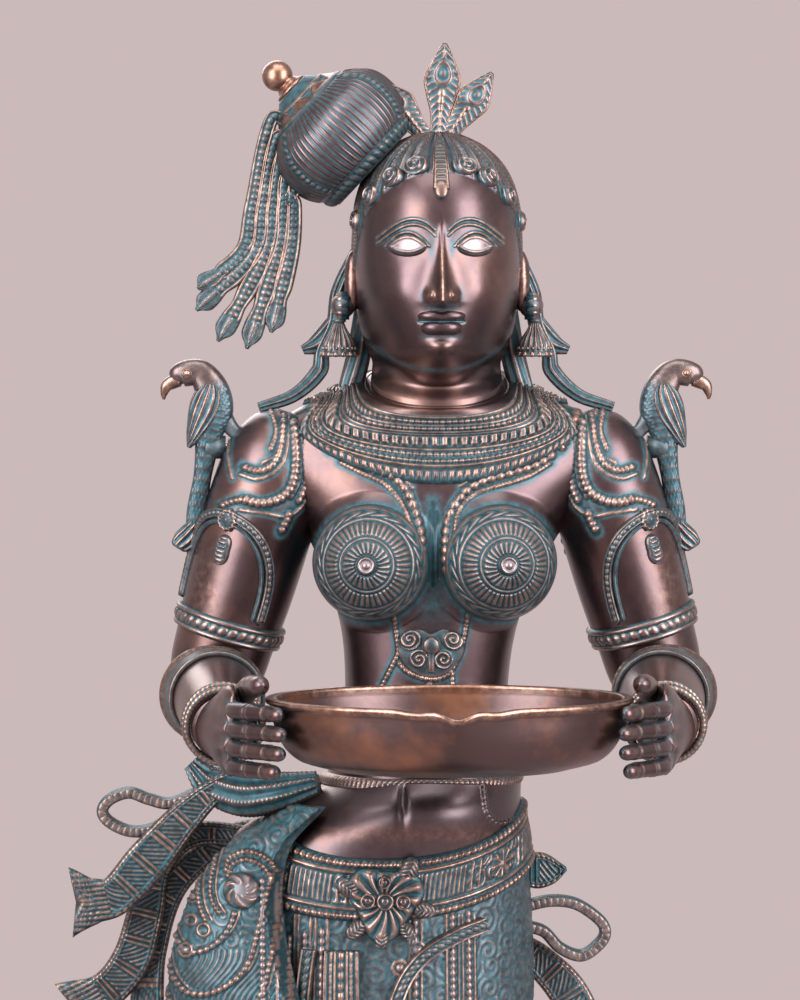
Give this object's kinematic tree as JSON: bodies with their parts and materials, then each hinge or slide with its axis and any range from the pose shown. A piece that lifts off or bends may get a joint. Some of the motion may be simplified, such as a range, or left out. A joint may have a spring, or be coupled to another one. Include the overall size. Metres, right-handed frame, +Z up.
{
  "type": "standing lamp figure",
  "caption": "Standing brass lady on a lotus pedestal who holds a lift-out oil-lamp bowl in both hands, with shoulder parrots, side hair bun and hip sashes.",
  "frame": {"origin": "centre of the underside of the plinth, on the floor", "axes": "+Z up, the figure faces -Y, +X is the viewer's right"},
  "size_m": [0.4303, 0.4593, 1.2119],
  "materials": {
    "skin": "dark chocolate bronze, satin gloss, copper rubs on the high places",
    "patina": "blue-green patina in the hollows, brass rubbed through on the edges",
    "rubbed_trim": "copper-gold rubbed metal",
    "bowl": "brown bronze, satin gloss, copper rubs on the rim",
    "pedestal": "dark bronze with blue-green patina in the hollows",
    "fasteners": "plain steel, out of sight"
  },
  "bodies": {
    "figure": {"plinth": "pedestal", "lotus_ring": "pedestal", "deck_plate": "pedestal", "foot_studs": "fasteners", "foot_washers": "fasteners", "foot_nuts": "fasteners", "left_foot": "skin", "right_foot": "skin", "anklets": "rubbed_trim", "lower_body": "patina", "girdle": "patina", "girdle_clasp": "rubbed_trim", "front_pleat": "patina", "lap_bands": "patina", "hip_fan": "patina", "left_sash_loop": "patina", "left_sash_tails": "patina", "right_sash_loop": "patina", "right_sash_tails": "patina", "waist_chain": "rubbed_trim", "torso": "skin", "breast_roundels": "patina", "collar": "patina", "chest_pendant": "patina", "neck_dowel": "fasteners", "head": "skin", "forehead_curls": "patina", "forehead_jewel": "rubbed_trim", "crest": "patina", "hair_bun": "skin", "bun_knob": "rubbed_trim", "bun_tassels": "patina", "left_earring": "patina", "right_earring": "patina", "left_hair_lock": "patina", "right_hair_lock": "patina", "shoulder_studs": "fasteners", "shoulder_washers": "fasteners", "shoulder_nuts": "fasteners", "left_upper_arm": "skin", "right_upper_arm": "skin", "left_armlet": "patina", "right_armlet": "patina", "left_elbow_cuff": "rubbed_trim", "right_elbow_cuff": "rubbed_trim", "left_forearm": "skin", "right_forearm": "skin", "left_bangles": "rubbed_trim", "right_bangles": "rubbed_trim", "left_hand": "skin", "right_hand": "skin", "left_parrot": "patina", "right_parrot": "patina", "parrot_studs": "fasteners"},
    "bowl": {"lamp_bowl": "bowl"}
  },
  "joints": [
    {"name": "bowl_lift", "type": "slide", "parent": "figure", "child": "bowl", "axis": [0, 0, 1], "range_m": [0, 0.12]}
  ]
}
